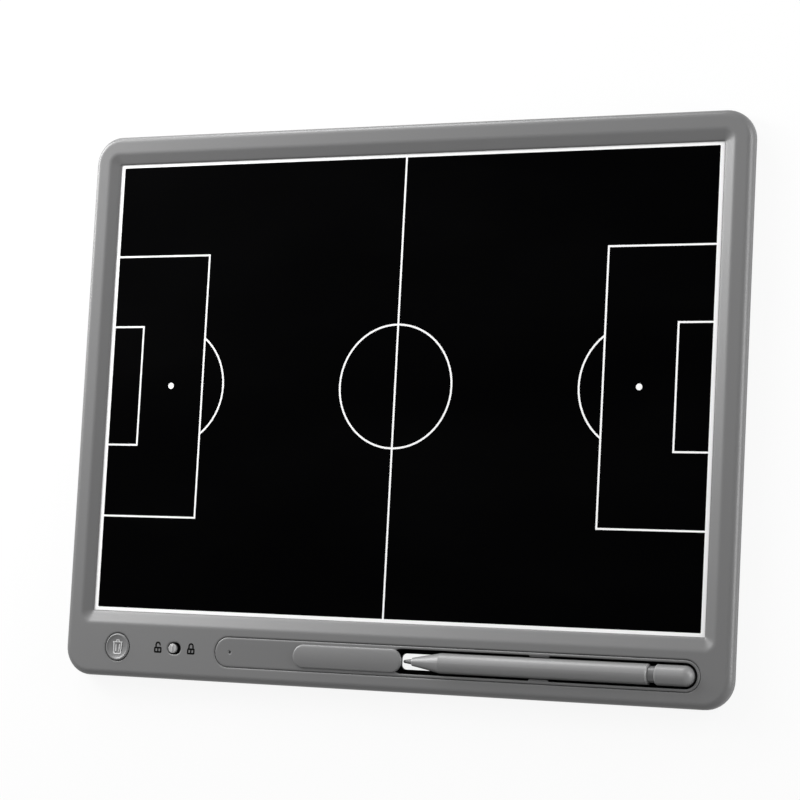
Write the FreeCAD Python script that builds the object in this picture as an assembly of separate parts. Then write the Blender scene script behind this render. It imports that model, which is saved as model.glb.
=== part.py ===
import FreeCAD, Part
import math
import os

# Electronic tactics board: a grey two-piece case round a liquid-crystal writing panel with a printed
# pitch, an erase button, a lock slider and a pen that lies in a tray. Sizes are in millimetres.
# The board lies on its back: X runs to the right, Y up the board and Z out of the writing face.
# The origin is on the surface under the feet, below the middle of the outline.

# Case
board_width = 340.5
board_height = 263.6
case_depth = 8.0
corner_radius = 13.4
front_edge_radius = 3.0
rear_edge_radius = 3.5
rear_cover_depth = 4.2
case_wall = 1.8
front_plate = 1.8
rear_plate = 2.0
tongue_wall = 1.0
tongue_height = 1.0
tongue_root = 1.4

# Clearances: one for mouldings that stay together, one for pieces that move, one overrun for cuts
fit_gap = 0.15
play = 0.3
overrun = 2.0
closeness = 1e-6

# Recess round the writing panel
side_margin = 13.75
top_margin = 13.9
bottom_margin = 31.35
recess_depth = 2.6
slope_run = 5.45
bottom_slope_run = 6.0
slope_top_radius = 5.0
slope_edge_radius = 4.0
opening_radius = 0.5
lip_edge = 0.3
hole_edge_radius = 0.35

# Panel stack
panel_thickness = 0.5
panel_overlap = 3.0
panel_gap = 0.4
panel_corner_radius = 1.5
tape_thickness = 0.2
tape_setback = 0.8
backing_thickness = 1.2
locator_wall = 1.2
locator_depth = 1.3

# Printed pitch
print_thickness = 0.08
touchline_width = 2.1
top_line_width = 1.6
bottom_line_width = 1.65
touchline_tuck = 0.4
line_width = 0.86
circle_radius = 28.85
penalty_area_depth = 51.0
penalty_area_width = 126.8
goal_area_depth = 16.25
goal_area_width = 57.6
penalty_spot_distance = 33.6
penalty_arc_radius = 28.95
spot_diameter = 3.0

# Row of controls under the panel
row_height = 14.0
button_from_edge = 29.75
button_diameter = 13.0
button_rise = 0.45
button_rim_width = 1.5
button_dish_depth = 0.9
button_flange = 1.2
button_travel = 0.5
lock_from_edge = 61.4
lock_lift = 0.65
knob_diameter = 4.5
knob_drop = 0.2
knob_ridge_width = 0.7
knob_ridge_length = 2.8
knob_ridge_height = 0.25
knob_end_gap = 0.35
knob_side_gap = 0.6
lock_travel = 2.1
slider_length = 13.0
slider_width = 9.6
slider_rail = 1.0
flange_thickness = 0.8
flange_gap = 0.1

# Pen tray and the pad that ends at the pen's tip
tray_from_left = 83.85
tray_from_right = 14.4
tray_lift = 0.2
slot_width = 11.4
tray_rim = 1.3
tray_end_rim = 1.25
tray_edge_radius = 0.5
tray_flange = 1.6
tray_flange_thickness = 1.0
tray_plate = 1.6
tray_core_wall = 1.4
trough_wall = 1.2
trough_floor = 0.8
rear_skin = 0.8
slot_end_gap = 1.3
nub_length = 9.7
nub_from_end = 74.8
nub_depth = 2.4
nub_gap = 0.25
nub_edge_radius = 0.3
window_length = 30.0
window_height = 7.3
window_radius = 2.3
window_lead = 3.45
pinhole_diameter = 1.2
pinhole_from_end = 8.15
pad_lead = 42.1
pad_length = 56.3
pad_width = 11.0
pad_rise = 1.1
pad_crown_radius = 26.0
pad_edge_radius = 0.8
pad_overhang = 6.0
pad_peg_diameter = 2.4
tip_gap = 0.3

# Pen
pen_diameter = 9.3
nose_length = 18.9
nose_end_diameter = 3.8
nib_length = 4.6
nib_diameter = 2.6
nib_tip_radius = 0.75
nib_shank = 7.0
neck_ring_width = 3.4
neck_ring_diameter = 7.3
end_cap_length = 18.0
pen_chamfer = 0.5
spigot_diameter = 4.6
spigot_length = 8.0

# Electronics
circuit_from_edge = 14.2
contact_land = 12.3
circuit_height = 21.0
circuit_thickness = 1.0
circuit_corner_radius = 1.0
post_height = 2.3
post_diameter = 4.0
erase_switch_size = 6.0
erase_switch_height = 0.8
plunger_diameter = 3.0
plunger_floor_gap = 0.05
lock_switch_length = 9.0
lock_switch_width = 4.0
lock_switch_height = 0.9
lever_length = 1.8
lever_width = 1.6
lever_floor_gap = 0.2
chip_size = 5.0
chip_height = 1.0
flex_width = 12.0
flex_thickness = 0.2
flex_bend_radius = 1.6
flex_notch_gap = 0.6
connector_length = 15.0
connector_depth = 4.0
connector_height = 1.0
connector_edge_gap = 0.4
connector_mouth_depth = 2.5

# Battery
cell_diameter = 20.0
cell_thickness = 3.2
cell_cap_diameter = 17.6
cell_cap_height = 0.4
cell_edge_radius = 0.3
cell_gap = 0.25
cell_lift = 0.1
well_wall = 1.0
well_height = 2.0
contact_reach = 4.8
contact_thickness = 0.3
contact_width = 4.0
contact_spacing = 5.0
contact_bend_radius = 0.8
contact_foot = 3.0
contact_overlap = 14.0
door_thickness = 1.2
door_ledge = 0.75
door_hook_land = 3.0
door_screw_land = 7.0
door_corner_radius = 1.5
door_gap = 0.2
door_grip_width = 8.0
door_grip_depth = 0.5
door_grip_length = 2.4
hook_spacing = 15.0
hook_width = 4.0
hook_setback = 0.4
hook_stub = 1.2
hook_thickness = 0.8
hook_reach = 1.2

# Screws and feet
door_screw_head_diameter = 3.6
door_screw_head_height = 0.6
door_screw_head_drop = 0.1
door_screw_shank_diameter = 2.0
door_screw_shank_length = 2.8
door_screw_from_end = 3.6
door_screw_boss_diameter = 5.4
door_screw_boss_height = 2.0
board_screw_head_diameter = 3.2
board_screw_head_height = 0.7
board_screw_shank_diameter = 1.6
board_screw_shank_length = 2.5
case_screw_head_diameter = 4.2
case_screw_head_height = 1.2
case_screw_shank_diameter = 2.2
case_screw_shank_length = 4.2
case_screw_sink = 1.5
screw_gap = 0.1
boss_diameter = 5.5
boss_inset = 6.3
pillar_diameter = 7.2
pillar_height = 1.4
driver_slot_width = 0.7
driver_slot_share = 0.7
driver_depth_share = 0.5
foot_diameter = 14.0
foot_height = 1.0
foot_recess = 0.6
foot_edge_radius = 0.3
foot_inset = 20.5

# Ribs behind the panel
rib_thickness = 1.2

# Places as shares of the sizes that they follow
top_screw_shares = (-0.62, 0.0, 0.62)
side_screw_shares = (0.62, -0.05, -0.85)
rib_column_shares = (-0.75, -0.45, -0.15, 0.15, 0.45, 0.75)
rib_row_shares = (-0.7, -0.25, 0.25, 0.7)
post_shares = ((-0.45, 0.36), (-0.45, -0.36), (0.45, -0.36))
pad_peg_shares = (-0.3, 0.25)
chip_drop_share = 0.2
diagonal_share = math.sqrt(0.5)

# Levels, counted up from the surface under the feet
rear_z = foot_height
front_z = rear_z + case_depth
split_z = rear_z + rear_cover_depth
floor_z = rear_z + rear_plate
plate_under_z = front_z - front_plate
panel_z = front_z - recess_depth
lip_under_z = panel_z + tape_thickness
slope_foot_z = lip_under_z + lip_edge
panel_under_z = panel_z - panel_thickness
backing_under_z = panel_under_z - backing_thickness
circuit_top_z = plate_under_z - post_height
circuit_under_z = circuit_top_z - circuit_thickness
flange_top_z = plate_under_z - flange_gap
flange_under_z = flange_top_z - flange_thickness
trough_under_z = rear_z + rear_skin
trough_floor_z = trough_under_z + trough_floor
pillar_top_z = floor_z + pillar_height
door_top_z = rear_z + door_thickness
cell_under_z = door_top_z + cell_lift
cell_top_z = cell_under_z + cell_thickness
well_top_z = floor_z + well_height

# Places across the board
left_x = -board_width / 2
right_x = board_width / 2
bottom_y = -board_height / 2
top_y = board_height / 2
opening_width = board_width - 2 * side_margin
opening_height = board_height - top_margin - bottom_margin
display_y = (bottom_margin - top_margin) / 2
field_width = opening_width - 2 * touchline_width
field_height = opening_height - top_line_width - bottom_line_width
pitch_y = display_y + (bottom_line_width - top_line_width) / 2
panel_width = opening_width + 2 * panel_overlap
panel_height = opening_height + 2 * panel_overlap
panel_bottom_y = display_y - panel_height / 2
row_y = bottom_y + row_height
lock_y = row_y + lock_lift
tray_y = row_y + tray_lift
button_x = left_x + button_from_edge
lock_x = left_x + lock_from_edge
knob_x = lock_x - lock_travel / 2
flex_x = (button_x + lock_x) / 2

# Places along the tray: the pen fills what the pad leaves free
tray_width = slot_width + 2 * tray_rim
tray_left = left_x + tray_from_left
tray_right = right_x - tray_from_right
slot_right = tray_right - tray_end_rim
pad_left = tray_left + pad_lead
pad_right = pad_left + pad_length
pen_tip = pad_right + tip_gap
pen_end = slot_right - slot_end_gap
pen_axis_z = trough_floor_z + play + pen_diameter / 2
neck_right = pen_end - end_cap_length
neck_left = neck_right - neck_ring_width
slot_left = pad_right - pad_overhang
window_left = pad_right - window_lead

# Places of the electronics and the battery
circuit_left = left_x + circuit_from_edge
circuit_right = lock_x + lock_switch_length / 2 + contact_land
circuit_length = circuit_right - circuit_left
circuit_x = (circuit_left + circuit_right) / 2
circuit_top_y = row_y + circuit_height / 2
cell_radius = cell_diameter / 2
well_radius = cell_radius + cell_gap
cell_x = circuit_right + contact_reach + well_radius + well_wall
cell_y = (bottom_y + case_wall + panel_bottom_y) / 2
door_left = cell_x - well_radius - door_hook_land
door_right = cell_x + well_radius + door_screw_land
door_width = 2 * (well_radius + door_ledge)
door_screw_x = door_right - door_screw_from_end
hook_under_z = floor_z + play
hook_top_z = hook_under_z + hook_thickness
hook_right = door_left + hook_setback + hook_stub

x_axis = FreeCAD.Vector(1, 0, 0)
z_axis = FreeCAD.Vector(0, 0, 1)


def point(x, y, z):
    return FreeCAD.Vector(x, y, z)


def rounded_wire(width, height, radius, z, x=0, y=0):
    """Rounded rectangle lying flat at height z; a radius of half the height makes a pill."""
    across = width / 2 - radius
    along = height / 2 - radius
    quarters = ((across, -along, -90), (across, along, 0), (-across, along, 90), (-across, -along, 180))
    arcs = []
    for shift_x, shift_y, start in quarters:
        circle = Part.Circle(point(x + shift_x, y + shift_y, z), z_axis, radius)
        arcs.append(Part.ArcOfCircle(circle, math.radians(start), math.radians(start + 90)))
    edges = []
    for index, arc in enumerate(arcs):
        following = arcs[(index + 1) % len(arcs)]
        edges.append(arc.toShape())
        if arc.EndPoint.distanceToPoint(following.StartPoint) > closeness:
            edges.append(Part.LineSegment(arc.EndPoint, following.StartPoint).toShape())
    return Part.Wire(edges)


def slab(width, height, radius, low, high, x=0, y=0):
    """Rounded rectangle raised from one level to another."""
    return Part.Face(rounded_wire(width, height, radius, low, x, y)).extrude(point(0, 0, high - low))


def pill(left, right, y, width, low, high):
    """Bar with round ends, lying along X."""
    return slab(right - left, width, width / 2, low, high, (left + right) / 2, y)


def block(left, right, bottom, top, low, high):
    return Part.makeBox(right - left, top - bottom, high - low, point(left, bottom, low))


def block_at(x, y, length, width, low, high):
    """Block placed by the middle of its outline."""
    return block(x - length / 2, x + length / 2, y - width / 2, y + width / 2, low, high)


def cylinder(x, y, diameter, low, high):
    return Part.makeCylinder(diameter / 2, high - low, point(x, y, low))


def turned(points, base, axis):
    """Solid turned from a closed outline of edges or corner points."""
    return Part.Face(Part.Wire(points)).revolve(base, axis, 360)


def lines(corners):
    """Straight edges from corner to corner."""
    return [Part.LineSegment(a, b).toShape() for a, b in zip(corners, corners[1:])]


def flat_edges(shape, z, left=left_x, right=right_x, bottom=bottom_y, top=top_y):
    """Edges that lie at height z, within a rectangle."""
    found = []
    for edge in shape.Edges:
        box = edge.BoundBox
        level = abs(box.ZMin - z) < closeness and abs(box.ZMax - z) < closeness
        inside_x = box.XMin > left - fit_gap and box.XMax < right + fit_gap
        inside_y = box.YMin > bottom - fit_gap and box.YMax < top + fit_gap
        if level and inside_x and inside_y:
            found.append(edge)
    return found


def hollow(width, height, radius, wall, low, high, y=0):
    """Upright wall that runs round a rounded rectangle, outside it."""
    outer = slab(width + 2 * wall, height + 2 * wall, radius + wall, low, high, 0, y)
    return outer.cut(slab(width, height, radius, low - overrun, high + overrun, 0, y))


def swept_strip(path, width_axis, face_axis, width, thickness):
    """Flat strip swept along a path; its first point carries the section."""
    start = path[0].Vertexes[0].Point
    across = width_axis * (width / 2)
    through = face_axis * (thickness / 2)
    corners = [start + across + through, start - across + through]
    corners += [start - across - through, start + across - through]
    section = Part.makePolygon(corners + corners[:1])
    return Part.Wire(path).makePipeShell([section], True, False)


def s_bend(start, direction, lead, drop, radius, tail):
    """Level run, two equal arcs that step down by drop, and a level run."""
    turn = math.acos(1 - drop / (2 * radius))
    run = 2 * radius * math.sin(turn)
    half_turn_run = radius * math.sin(turn / 2)
    half_turn_drop = radius * (1 - math.cos(turn / 2))

    def at(distance, fall):
        return start + direction * distance - z_axis * fall

    first = at(lead, 0)
    middle = at(lead + run / 2, drop / 2)
    last = at(lead + run, drop)
    first_arc = Part.Arc(first, at(lead + half_turn_run, half_turn_drop), middle)
    second_arc = Part.Arc(middle, at(lead + run - half_turn_run, drop - half_turn_drop), last)
    edges = lines([at(0, 0), first])
    edges += [first_arc.toShape(), second_arc.toShape()]
    return edges + lines([last, at(lead + run + tail, drop)])


def s_bend_run(drop, radius):
    """Length along the level that the two arcs of an S-bend take."""
    return 2 * radius * math.sin(math.acos(1 - drop / (2 * radius)))


def case_screw_places():
    """Places of the screws that close the case, along the top and down both sides."""
    places = [(share * board_width / 2, top_y - boss_inset) for share in top_screw_shares]
    for side_x in (left_x + boss_inset, right_x - boss_inset):
        places += [(side_x, share * board_height / 2) for share in side_screw_shares]
    return places


def post_places():
    """Places of the posts that carry the circuit board."""
    return [(circuit_x + a * circuit_length, row_y + b * circuit_height) for a, b in post_shares]


def foot_places():
    """Place of each foot, by its name."""
    side = board_width / 2 - foot_inset
    end = board_height / 2 - foot_inset
    return {
        "foot_top_left": (-side, end),
        "foot_top_right": (side, end),
        "foot_bottom_left": (-side, -end),
        "foot_bottom_right": (side, -end),
    }


def panel_slope():
    """Cutter of the recess: a short upright lip, then a slope whose corners open into arcs."""
    foot_wire = rounded_wire(opening_width, opening_height, opening_radius, slope_foot_z, 0, display_y)
    rise = front_z - slope_foot_z
    reach_share = (rise + overrun) / rise
    side_reach = slope_run * reach_share
    bottom_reach = bottom_slope_run * reach_share
    top_radius = opening_radius + (slope_top_radius - opening_radius) * reach_share
    wide_wire = rounded_wire(
        opening_width + 2 * side_reach, opening_height + side_reach + bottom_reach, top_radius,
        front_z + overrun, 0, display_y + (side_reach - bottom_reach) / 2)
    slope = Part.makeLoft([foot_wire, wide_wire], True, True)
    lip_height = slope_foot_z - lip_under_z + overrun
    return slope.fuse(Part.Face(foot_wire).extrude(point(0, 0, -lip_height)))


def front_holes():
    """Cutters of the button hole, the lock's slot and the tray's opening, through the front plate."""
    low = plate_under_z - overrun
    high = front_z + overrun
    lock_half = (knob_diameter + lock_travel) / 2 + knob_end_gap
    lock_height = knob_diameter + 2 * knob_side_gap
    button_hole = cylinder(button_x, row_y, button_diameter + 2 * play, low, high)
    lock_slot = pill(lock_x - lock_half, lock_x + lock_half, lock_y, lock_height, low, high)
    tray_hole = pill(tray_left - fit_gap, tray_right + fit_gap, tray_y, tray_width + 2 * fit_gap, low, high)
    return [button_hole, lock_slot, tray_hole]


def front_bezel():
    """Front half of the case: rounded frame, sloping recess, control row and fixing bosses."""
    body = slab(board_width, board_height, corner_radius, split_z, front_z)
    body = body.makeFillet(front_edge_radius, flat_edges(body, front_z))
    inner_width = board_width - 2 * case_wall
    inner_height = board_height - 2 * case_wall
    cavity = slab(inner_width, inner_height, corner_radius - case_wall, split_z - overrun, plate_under_z)
    cavity = cavity.makeFillet(front_edge_radius - case_wall, flat_edges(cavity, plate_under_z))
    body = body.cut(cavity)
    for cutter in front_holes():
        body = body.cut(cutter)
        box = cutter.BoundBox
        rim = flat_edges(body, front_z, box.XMin, box.XMax, box.YMin, box.YMax)
        body = body.makeFillet(hole_edge_radius, rim)

    seat_width = panel_width + 2 * panel_gap
    seat_height = panel_height + 2 * panel_gap
    lip_width = seat_width + 2 * locator_wall
    lip_height = seat_height + 2 * locator_wall
    lip_radius = panel_corner_radius + locator_wall
    lip = slab(lip_width, lip_height, lip_radius, lip_under_z, plate_under_z, 0, display_y)
    locator = hollow(seat_width, seat_height, panel_corner_radius, locator_wall,
                     lip_under_z - locator_depth, lip_under_z, display_y)
    flex_half = flex_width / 2 + flex_notch_gap
    notch = block(flex_x - flex_half, flex_x + flex_half, panel_bottom_y - panel_gap - locator_wall - overrun,
                  panel_bottom_y, lip_under_z - locator_depth - overrun, lip_under_z)
    body = body.fuse([lip, locator.cut(notch)])
    body = body.cut(panel_slope())
    brow = flat_edges(body, front_z, -opening_width / 2 - slope_run, opening_width / 2 + slope_run,
                      display_y - opening_height / 2 - bottom_slope_run,
                      display_y + opening_height / 2 + slope_run)
    body = body.makeFillet(slope_edge_radius, brow)

    bosses = [cylinder(x, y, boss_diameter, pillar_top_z, plate_under_z) for x, y in case_screw_places()]
    posts = [cylinder(x, y, post_diameter, circuit_top_z, plate_under_z) for x, y in post_places()]
    rail_half = (slider_length + lock_travel) / 2
    rails = []
    for side in (-1, 1):
        near = lock_y + side * (slider_width / 2 + play)
        far = near + side * slider_rail
        rails.append(block(lock_x - rail_half, lock_x + rail_half, min(near, far), max(near, far),
                           flange_under_z, plate_under_z))
    body = body.fuse(bosses + posts + rails)
    screw_top = rear_z + case_screw_sink + case_screw_shank_length + play
    pilots = [cylinder(x, y, case_screw_shank_diameter + 2 * screw_gap, pillar_top_z - overrun, screw_top)
              for x, y in case_screw_places()]
    post_top = circuit_under_z + board_screw_shank_length + screw_gap
    pilots += [cylinder(x, y, board_screw_shank_diameter + 2 * screw_gap, circuit_top_z - overrun, post_top)
               for x, y in post_places()]
    return body.cut(pilots).removeSplitter()


def battery_openings():
    """Cutters of the door's seat, the coin cell's hole, the hooks' notches and the door screw's hole."""
    seat_length = door_right - door_left + 2 * door_gap
    seat = slab(seat_length, door_width + 2 * door_gap, door_corner_radius + door_gap,
                rear_z - overrun, door_top_z, (door_left + door_right) / 2, cell_y)
    cell_hole = cylinder(cell_x, cell_y, 2 * well_radius, rear_z, well_top_z + overrun)
    screw_hole = cylinder(door_screw_x, cell_y, door_screw_shank_diameter + 2 * play, rear_z,
                          floor_z + door_screw_boss_height + overrun)
    swing = math.hypot(hook_right - door_left, hook_top_z - rear_z) + play
    notches = []
    for side in (-1, 1):
        hook_y = cell_y + side * hook_spacing / 2
        notches.append(block_at(door_left + swing / 2, hook_y, swing, hook_width + 2 * play,
                                rear_z, floor_z + overrun))
    return [seat, cell_hole, screw_hole] + notches


def rear_cover():
    """Back half of the case: shallow shell with a tongue, ribs, pillars and the battery's well."""
    body = slab(board_width, board_height, corner_radius, rear_z, split_z)
    body = body.makeFillet(rear_edge_radius, flat_edges(body, rear_z))
    inner_width = board_width - 2 * case_wall
    inner_height = board_height - 2 * case_wall
    inner_radius = corner_radius - case_wall
    cavity = slab(inner_width, inner_height, inner_radius, floor_z, split_z + overrun)
    cavity = cavity.makeFillet(rear_edge_radius - case_wall, flat_edges(cavity, floor_z))
    body = body.cut(cavity)

    tongue_width = inner_width - 2 * fit_gap - 2 * tongue_wall
    tongue_length = inner_height - 2 * fit_gap - 2 * tongue_wall
    tongue_radius = inner_radius - fit_gap - tongue_wall
    root = hollow(tongue_width, tongue_length, tongue_radius, tongue_wall + fit_gap,
                  split_z - tongue_root, split_z)
    tongue = hollow(tongue_width, tongue_length, tongue_radius, tongue_wall, split_z, split_z + tongue_height)

    ribs = []
    for share in rib_column_shares:
        rib_x = share * opening_width / 2
        ribs.append(block_at(rib_x, display_y, rib_thickness, opening_height, floor_z, backing_under_z))
    for share in rib_row_shares:
        rib_y = display_y + share * opening_height / 2
        ribs.append(block_at(0, rib_y, opening_width, rib_thickness, floor_z, backing_under_z))
    pillars = [cylinder(x, y, pillar_diameter, floor_z, pillar_top_z) for x, y in case_screw_places()]
    well = cylinder(cell_x, cell_y, 2 * (well_radius + well_wall), floor_z, well_top_z)
    boss = cylinder(door_screw_x, cell_y, door_screw_boss_diameter, floor_z, floor_z + door_screw_boss_height)
    body = body.fuse([root, tongue, well, boss] + ribs + pillars)

    cuts = battery_openings()
    contact_half = contact_width / 2 + play
    cuts.append(block(cell_x - well_radius - well_wall - overrun, cell_x, cell_y - contact_half,
                      cell_y + contact_half, floor_z, well_top_z + overrun))
    cuts.append(pill(slot_left - trough_wall - fit_gap, slot_right + trough_wall + fit_gap, tray_y,
                     slot_width + 2 * trough_wall + 2 * fit_gap, trough_under_z, floor_z + overrun))
    cuts.append(window_cutter(rear_z - overrun, floor_z))
    for x, y in case_screw_places():
        sink_z = rear_z + case_screw_sink
        cuts.append(cylinder(x, y, case_screw_head_diameter + 2 * play, rear_z - overrun, sink_z))
        cuts.append(cylinder(x, y, case_screw_shank_diameter + 2 * fit_gap, rear_z, pillar_top_z + overrun))
    for x, y in foot_places().values():
        cuts.append(cylinder(x, y, foot_diameter + 2 * screw_gap, rear_z - overrun, rear_z + foot_recess))
    return body.cut(cuts).removeSplitter()


def window_cutter(low, high):
    """Window behind the pen's nose, through which a finger pushes the pen out."""
    middle = window_left + window_length / 2
    return slab(window_length, window_height, window_radius, low, high, middle, tray_y)


def pen_tray():
    """Pill-shaped insert held under the bezel by a flange, with the pen's trough and two grip nubs."""
    body = pill(tray_left, tray_right, tray_y, tray_width, plate_under_z, front_z)
    body = body.makeFillet(tray_edge_radius, flat_edges(body, front_z))
    flange = pill(tray_left - tray_flange, tray_right + tray_flange, tray_y, tray_width + 2 * tray_flange,
                  plate_under_z - tray_flange_thickness, plate_under_z)
    trough = pill(slot_left - trough_wall, slot_right + trough_wall, tray_y, slot_width + 2 * trough_wall,
                  trough_under_z, plate_under_z)
    body = body.fuse([flange, trough])
    core_width = tray_width - 2 * tray_core_wall
    core = pill(tray_left + tray_core_wall, slot_left - 2 * trough_wall, tray_y, core_width,
                plate_under_z - tray_flange_thickness - overrun, front_z - tray_plate)
    slot = pill(slot_left, slot_right, tray_y, slot_width, trough_floor_z, front_z + overrun)
    body = body.cut([core, slot])

    nub_reach = (slot_width - pen_diameter) / 2 - nub_gap
    nub_middle = slot_right - nub_from_end
    nubs = []
    for side in (-1, 1):
        nub = pill(nub_middle - nub_length / 2, nub_middle + nub_length / 2, tray_y + side * slot_width / 2,
                   2 * nub_reach, front_z - nub_depth, front_z - nub_edge_radius)
        nubs.append(nub)
    body = body.fuse(nubs)
    cuts = [window_cutter(trough_under_z - overrun, trough_floor_z)]
    holes = [(tray_left + pinhole_from_end, pinhole_diameter)]
    holes += [(peg_x, pad_peg_diameter + 2 * screw_gap) for peg_x in pad_peg_places()]
    for hole_x, diameter in holes:
        cuts.append(cylinder(hole_x, tray_y, diameter, plate_under_z, front_z + overrun))
    return body.cut(cuts).removeSplitter()


def pad_peg_places():
    """Places along X of the two pegs that hold the pad to the tray."""
    middle = (pad_left + pad_right) / 2
    return [middle + share * (pad_right - pad_left) for share in pad_peg_shares]


def tip_guard():
    """Raised pad with round ends and a crowned top, pegged to the tray."""
    body = pill(pad_left, pad_right, tray_y, pad_width, front_z, front_z + pad_rise)
    crown_z = front_z + pad_rise - pad_crown_radius
    crown = Part.makeCylinder(pad_crown_radius, pad_right - pad_left + 2 * overrun,
                              point(pad_left - overrun, tray_y, crown_z), x_axis)
    body = body.common(crown)
    top_edges = [edge for edge in body.Edges if edge.BoundBox.ZMin > front_z + closeness
                 and edge.BoundBox.YLength + edge.BoundBox.XLength > closeness]
    body = body.makeFillet(pad_edge_radius, top_edges)
    pegs = [cylinder(peg_x, tray_y, pad_peg_diameter, front_z - tray_plate, front_z)
            for peg_x in pad_peg_places()]
    return body.fuse(pegs).removeSplitter()


def writing_panel():
    """Liquid-crystal sheet, which reaches under the bezel's lip all round."""
    return slab(panel_width, panel_height, panel_corner_radius, panel_under_z, panel_z, 0, display_y)


def backing_board():
    """Stiff sheet bonded to the back of the writing panel."""
    return slab(panel_width, panel_height, panel_corner_radius, backing_under_z, panel_under_z, 0, display_y)


def panel_tape():
    """Frame of double-sided tape between the panel's margin and the bezel's lip."""
    inner_width = opening_width + 2 * tape_setback
    inner_height = opening_height + 2 * tape_setback
    tape_wall = panel_overlap - tape_setback
    return hollow(inner_width, inner_height, opening_radius, tape_wall, panel_z, lip_under_z, display_y)


def pitch_line(left, right, bottom, top):
    """One straight printed line, given by its edges on the panel."""
    return block(left, right, pitch_y + bottom, pitch_y + top, panel_z, panel_z + print_thickness)


def pitch_ring(x, radius):
    """Printed circle of the line's width, centred on the long axis of the pitch."""
    outer = cylinder(x, pitch_y, 2 * radius + line_width, panel_z, panel_z + print_thickness)
    return outer.cut(cylinder(x, pitch_y, 2 * radius - line_width, panel_z - overrun, panel_z + overrun))


def pitch_end(side):
    """Penalty area, goal area, spot and arc at one end; side is -1 or 1."""
    half = line_width / 2
    goal_x = field_width / 2
    pieces = []
    for depth, width in ((penalty_area_depth, penalty_area_width), (goal_area_depth, goal_area_width)):
        front = goal_x - depth
        for edge in (-width / 2, width / 2):
            pieces.append((front - half, goal_x, edge - half, edge + half))
        pieces.append((front - half, front + half, -width / 2, width / 2))
    printed = []
    for near, far, bottom, top in pieces:
        printed.append(pitch_line(min(side * near, side * far), max(side * near, side * far), bottom, top))
    spot_x = side * (goal_x - penalty_spot_distance)
    printed.append(cylinder(spot_x, pitch_y, spot_diameter, panel_z, panel_z + print_thickness))
    area_x = side * (goal_x - penalty_area_depth)
    arc = pitch_ring(spot_x, penalty_arc_radius)
    arc_box = block(min(area_x, 0), max(area_x, 0), pitch_y - penalty_arc_radius - line_width,
                    pitch_y + penalty_arc_radius + line_width, panel_z, panel_z + print_thickness)
    printed.append(arc.common(arc_box))
    return printed


def pitch_markings():
    """White pitch printed on the panel: touchlines, halfway line, circle and both ends."""
    border = slab(opening_width + 2 * touchline_tuck, opening_height + 2 * touchline_tuck,
                  opening_radius + touchline_tuck, panel_z, panel_z + print_thickness, 0, display_y)
    border = border.cut(slab(field_width, field_height, opening_radius, panel_z - overrun, panel_z + overrun,
                             0, pitch_y))
    half = line_width / 2
    halfway = pitch_line(-half, half, -field_height / 2, field_height / 2)
    printed = [halfway, pitch_ring(0, circle_radius)] + pitch_end(-1) + pitch_end(1)
    return border.fuse(printed).removeSplitter()


def erase_button():
    """Round button turned about its axis: flange under the bezel, rounded rim and a dished face."""
    radius = button_diameter / 2
    top_z = front_z + button_rise
    rim_radius = button_rim_width / 2
    flange_radius = radius + button_flange

    def at(distance, z):
        return point(button_x + distance, row_y, z)

    rim_middle = radius - rim_radius
    dish_edge = rim_middle - rim_radius
    corners = [at(0, top_z - button_dish_depth), at(0, flange_under_z), at(flange_radius, flange_under_z)]
    corners += [at(flange_radius, flange_top_z), at(radius, flange_top_z), at(radius, top_z - rim_radius)]
    dish_edge_z = top_z - rim_radius / 2
    rim_shoulder = at(rim_middle + rim_radius * diagonal_share, top_z - rim_radius * (1 - diagonal_share))
    rim_arc = Part.Arc(at(radius, top_z - rim_radius), rim_shoulder, at(rim_middle, top_z))
    inner_edge = lines([at(rim_middle, top_z), at(dish_edge, dish_edge_z)])
    dish_z = top_z - button_dish_depth
    dish_rise = dish_edge_z - dish_z
    sphere_radius = (dish_edge ** 2 + dish_rise ** 2) / (2 * dish_rise)
    half_turn = math.asin(dish_edge / sphere_radius) / 2
    halfway = at(sphere_radius * math.sin(half_turn), dish_z + sphere_radius * (1 - math.cos(half_turn)))
    dish = Part.Arc(at(dish_edge, dish_edge_z), halfway, at(0, dish_z))
    outline = lines(corners) + [rim_arc.toShape()] + inner_edge + [dish.toShape()]
    return turned(outline, at(0, 0), z_axis)


def erase_switch():
    """Low push switch on the circuit board, bored for its plunger."""
    top_z = circuit_top_z + erase_switch_height
    body = block_at(button_x, row_y, erase_switch_size, erase_switch_size, circuit_top_z, top_z)
    bore_diameter = plunger_diameter + 2 * play
    return body.cut(cylinder(button_x, row_y, bore_diameter, circuit_top_z - overrun, top_z + overrun))


def erase_plunger():
    """Plunger of the push switch, under the button's flange."""
    low = circuit_top_z + button_travel + plunger_floor_gap
    return cylinder(button_x, row_y, plunger_diameter, low, flange_under_z)


def lock_slider():
    """Round knob on a flat slide that hides the slot from below, with a ridge across the knob."""
    slide = block_at(knob_x, lock_y, slider_length, slider_width, flange_under_z, flange_top_z)
    knob_z = front_z - knob_drop
    knob = cylinder(knob_x, lock_y, knob_diameter, flange_top_z, knob_z)
    knob = knob.makeFillet(knob_drop, flat_edges(knob, knob_z))
    ridge = slab(knob_ridge_width, knob_ridge_length, knob_ridge_width / 2, knob_z,
                 knob_z + knob_ridge_height, knob_x, lock_y)
    return slide.fuse([knob, ridge]).removeSplitter()


def lock_switch():
    """Slide switch on the circuit board, slotted for its lever."""
    top_z = circuit_top_z + lock_switch_height
    body = block_at(lock_x, lock_y, lock_switch_length, lock_switch_width, circuit_top_z, top_z)
    slot_length = lever_length + lock_travel + 2 * play
    lever_slot_width = lever_width + 2 * play
    slot = block_at(lock_x, lock_y, slot_length, lever_slot_width, circuit_top_z - overrun, top_z + overrun)
    return body.cut(slot)


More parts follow.
